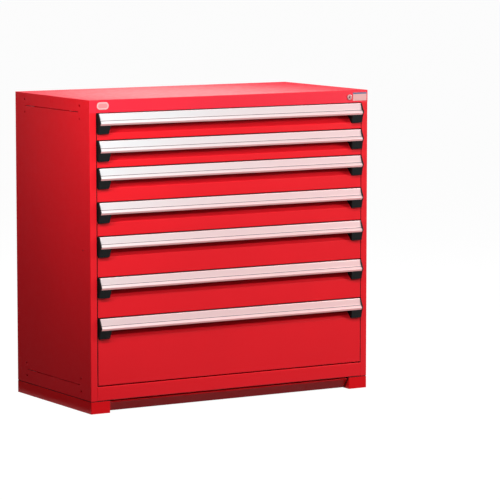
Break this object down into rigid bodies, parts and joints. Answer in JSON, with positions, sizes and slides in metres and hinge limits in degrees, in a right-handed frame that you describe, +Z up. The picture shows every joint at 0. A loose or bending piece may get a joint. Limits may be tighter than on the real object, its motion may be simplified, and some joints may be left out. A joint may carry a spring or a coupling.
{
  "type": "drawer cabinet",
  "caption": "Wide low steel drawer cabinet with full-width aluminium handles, full-extension drawers split into compartments, a keyed lock bar and a recessed base.",
  "frame": {"origin": "middle of the footprint at floor level, the drawers' end caps counted", "axes": "+X to the right seen from the front, -Y towards the front, +Z up"},
  "size_m": [1.2192, 0.633, 1.1684],
  "materials": {
    "housing_paint": "satin powder coat",
    "drawer_paint": "satin powder coat",
    "base_paint": "satin powder coat",
    "handle_aluminium": "satin anodised",
    "cap_plastic": "fine texture",
    "zinc_steel": "zinc plated",
    "lock_metal": "polished",
    "blank_plate": "satin, blank"
  },
  "bodies": {
    "cabinet": {"left_side_panel": "housing_paint", "right_side_panel": "housing_paint", "top_panel": "housing_paint", "back_panel": "housing_paint", "bottom_panel": "housing_paint", "header_rail": "housing_paint", "sill_rail": "housing_paint", "base_frame": "base_paint", "toe_panel": "base_paint", "rail_posts": "zinc_steel", "left_slide_rails": "zinc_steel", "right_slide_rails": "zinc_steel", "rail_screws": "zinc_steel", "lock_housing": "lock_metal", "front_plates": "blank_plate"},
    "lock_bar": {"lock_bar": "zinc_steel"},
    "lock": {"lock_plug": "lock_metal", "lock_cam": "zinc_steel"},
    "drawer_1": {"drawer_1_tray": "drawer_paint", "drawer_1_handle": "handle_aluminium", "drawer_1_end_caps": "cap_plastic", "drawer_1_slides": "zinc_steel", "drawer_1_dividers": "zinc_steel"},
    "carriage_1": {"carriage_1": "zinc_steel"},
    "drawer_2": {"drawer_2_tray": "drawer_paint", "drawer_2_handle": "handle_aluminium", "drawer_2_end_caps": "cap_plastic", "drawer_2_slides": "zinc_steel", "drawer_2_dividers": "zinc_steel"},
    "carriage_2": {"carriage_2": "zinc_steel"},
    "drawer_3": {"drawer_3_tray": "drawer_paint", "drawer_3_handle": "handle_aluminium", "drawer_3_end_caps": "cap_plastic", "drawer_3_slides": "zinc_steel", "drawer_3_dividers": "zinc_steel"},
    "carriage_3": {"carriage_3": "zinc_steel"},
    "drawer_4": {"drawer_4_tray": "drawer_paint", "drawer_4_handle": "handle_aluminium", "drawer_4_end_caps": "cap_plastic", "drawer_4_slides": "zinc_steel", "drawer_4_dividers": "zinc_steel"},
    "carriage_4": {"carriage_4": "zinc_steel"},
    "drawer_5": {"drawer_5_tray": "drawer_paint", "drawer_5_handle": "handle_aluminium", "drawer_5_end_caps": "cap_plastic", "drawer_5_slides": "zinc_steel", "drawer_5_dividers": "zinc_steel"},
    "carriage_5": {"carriage_5": "zinc_steel"},
    "drawer_6": {"drawer_6_tray": "drawer_paint", "drawer_6_handle": "handle_aluminium", "drawer_6_end_caps": "cap_plastic", "drawer_6_slides": "zinc_steel", "drawer_6_dividers": "zinc_steel"},
    "carriage_6": {"carriage_6": "zinc_steel"},
    "drawer_7": {"drawer_7_tray": "drawer_paint", "drawer_7_handle": "handle_aluminium", "drawer_7_end_caps": "cap_plastic", "drawer_7_slides": "zinc_steel", "drawer_7_dividers": "zinc_steel"},
    "carriage_7": {"carriage_7": "zinc_steel"}
  },
  "joints": [
    {"name": "drawer_1_slide", "type": "slide", "parent": "cabinet", "child": "drawer_1", "axis": [0, -1, 0], "range_m": [0, 0.5334]},
    {"name": "carriage_1_slide", "type": "slide", "parent": "cabinet", "child": "carriage_1", "axis": [0, -1, 0], "range_m": [0, 0.2667]},
    {"name": "drawer_2_slide", "type": "slide", "parent": "cabinet", "child": "drawer_2", "axis": [0, -1, 0], "range_m": [0, 0.5334]},
    {"name": "carriage_2_slide", "type": "slide", "parent": "cabinet", "child": "carriage_2", "axis": [0, -1, 0], "range_m": [0, 0.2667]},
    {"name": "drawer_3_slide", "type": "slide", "parent": "cabinet", "child": "drawer_3", "axis": [0, -1, 0], "range_m": [0, 0.5334]},
    {"name": "carriage_3_slide", "type": "slide", "parent": "cabinet", "child": "carriage_3", "axis": [0, -1, 0], "range_m": [0, 0.2667]},
    {"name": "drawer_4_slide", "type": "slide", "parent": "cabinet", "child": "drawer_4", "axis": [0, -1, 0], "range_m": [0, 0.5334]},
    {"name": "carriage_4_slide", "type": "slide", "parent": "cabinet", "child": "carriage_4", "axis": [0, -1, 0], "range_m": [0, 0.2667]},
    {"name": "drawer_5_slide", "type": "slide", "parent": "cabinet", "child": "drawer_5", "axis": [0, -1, 0], "range_m": [0, 0.5334]},
    {"name": "carriage_5_slide", "type": "slide", "parent": "cabinet", "child": "carriage_5", "axis": [0, -1, 0], "range_m": [0, 0.2667]},
    {"name": "drawer_6_slide", "type": "slide", "parent": "cabinet", "child": "drawer_6", "axis": [0, -1, 0], "range_m": [0, 0.5334]},
    {"name": "carriage_6_slide", "type": "slide", "parent": "cabinet", "child": "carriage_6", "axis": [0, -1, 0], "range_m": [0, 0.2667]},
    {"name": "drawer_7_slide", "type": "slide", "parent": "cabinet", "child": "drawer_7", "axis": [0, -1, 0], "range_m": [0, 0.5334]},
    {"name": "carriage_7_slide", "type": "slide", "parent": "cabinet", "child": "carriage_7", "axis": [0, -1, 0], "range_m": [0, 0.2667]},
    {"name": "lock_bar_lift", "type": "slide", "parent": "cabinet", "child": "lock_bar", "axis": [0, 0, 1], "range_m": [0, 0.012]},
    {"name": "lock_turn", "type": "hinge", "parent": "cabinet", "child": "lock", "pos_m": [0.5256, -0.29308, 1.1424], "axis": [0, -1, 0], "range_deg": [0, 90]}
  ],
  "couplings": [
    {"joint": "carriage_1_slide", "follows": "drawer_1_slide", "ratio": 0.5},
    {"joint": "carriage_2_slide", "follows": "drawer_2_slide", "ratio": 0.5},
    {"joint": "carriage_3_slide", "follows": "drawer_3_slide", "ratio": 0.5},
    {"joint": "carriage_4_slide", "follows": "drawer_4_slide", "ratio": 0.5},
    {"joint": "carriage_5_slide", "follows": "drawer_5_slide", "ratio": 0.5},
    {"joint": "carriage_6_slide", "follows": "drawer_6_slide", "ratio": 0.5},
    {"joint": "carriage_7_slide", "follows": "drawer_7_slide", "ratio": 0.5},
    {"joint": "lock_turn", "follows": "lock_bar_lift", "rad_per_m": 130.9}
  ]
}
